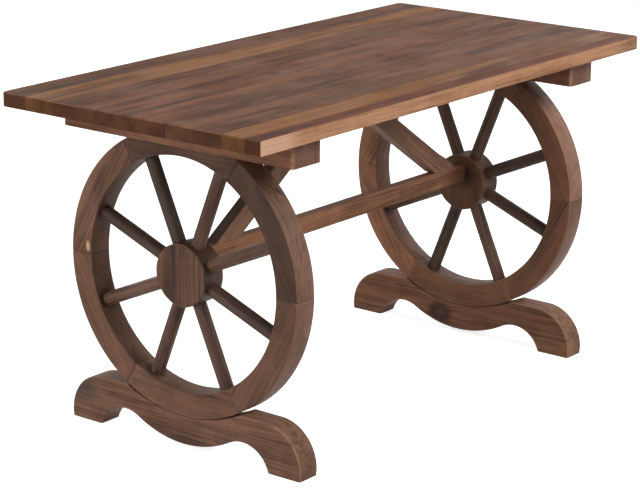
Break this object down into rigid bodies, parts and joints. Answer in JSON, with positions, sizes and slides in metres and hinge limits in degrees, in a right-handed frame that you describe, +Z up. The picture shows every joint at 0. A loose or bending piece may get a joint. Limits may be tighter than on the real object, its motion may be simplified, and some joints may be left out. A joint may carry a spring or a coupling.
{
  "type": "wagon wheel table",
  "caption": "Rectangular dining table on two wooden wagon wheels that stand in serpentine feet, tied by a stretcher and two raking braces.",
  "frame": {"origin": "on the floor, under the middle of the tabletop", "axes": "+X along the tabletop and the stretcher, +Y across the table and parallel to the wheels, +Z up"},
  "size_m": [1.4, 0.7, 0.75],
  "materials": {
    "tabletop_wood": "satin stain over reclaimed pine",
    "batten_wood": "satin stain over reclaimed pine",
    "felloe_wood": "satin stain over reclaimed pine",
    "spoke_wood": "satin stain over reclaimed pine",
    "hub_wood": "satin stain over reclaimed pine",
    "foot_wood": "satin stain over reclaimed pine",
    "stretcher_wood": "satin stain over reclaimed pine",
    "brace_wood": "satin stain over reclaimed pine",
    "tongue_wood": "satin stain over reclaimed pine"
  },
  "bodies": {
    "root": {"left_batten": "batten_wood", "left_brace": "brace_wood", "left_felloe_1": "felloe_wood", "left_felloe_2": "felloe_wood", "left_felloe_3": "felloe_wood", "left_felloe_4": "felloe_wood", "left_felloe_5": "felloe_wood", "left_felloe_6": "felloe_wood", "left_felloe_tongues": "tongue_wood", "left_foot": "foot_wood", "left_hub": "hub_wood", "left_spoke_1": "spoke_wood", "left_spoke_2": "spoke_wood", "left_spoke_3": "spoke_wood", "left_spoke_4": "spoke_wood", "left_spoke_5": "spoke_wood", "left_spoke_6": "spoke_wood", "left_spoke_7": "spoke_wood", "left_spoke_8": "spoke_wood", "right_batten": "batten_wood", "right_brace": "brace_wood", "right_felloe_1": "felloe_wood", "right_felloe_2": "felloe_wood", "right_felloe_3": "felloe_wood", "right_felloe_4": "felloe_wood", "right_felloe_5": "felloe_wood", "right_felloe_6": "felloe_wood", "right_felloe_tongues": "tongue_wood", "right_foot": "foot_wood", "right_hub": "hub_wood", "right_spoke_1": "spoke_wood", "right_spoke_2": "spoke_wood", "right_spoke_3": "spoke_wood", "right_spoke_4": "spoke_wood", "right_spoke_5": "spoke_wood", "right_spoke_6": "spoke_wood", "right_spoke_7": "spoke_wood", "right_spoke_8": "spoke_wood", "stretcher": "stretcher_wood", "top_board_1": "tabletop_wood", "top_board_2": "tabletop_wood", "top_board_3": "tabletop_wood", "top_board_4": "tabletop_wood", "top_board_5": "tabletop_wood", "top_board_6": "tabletop_wood", "top_board_7": "tabletop_wood", "top_board_8": "tabletop_wood", "top_board_9": "tabletop_wood"}
  },
  "joints": []
}
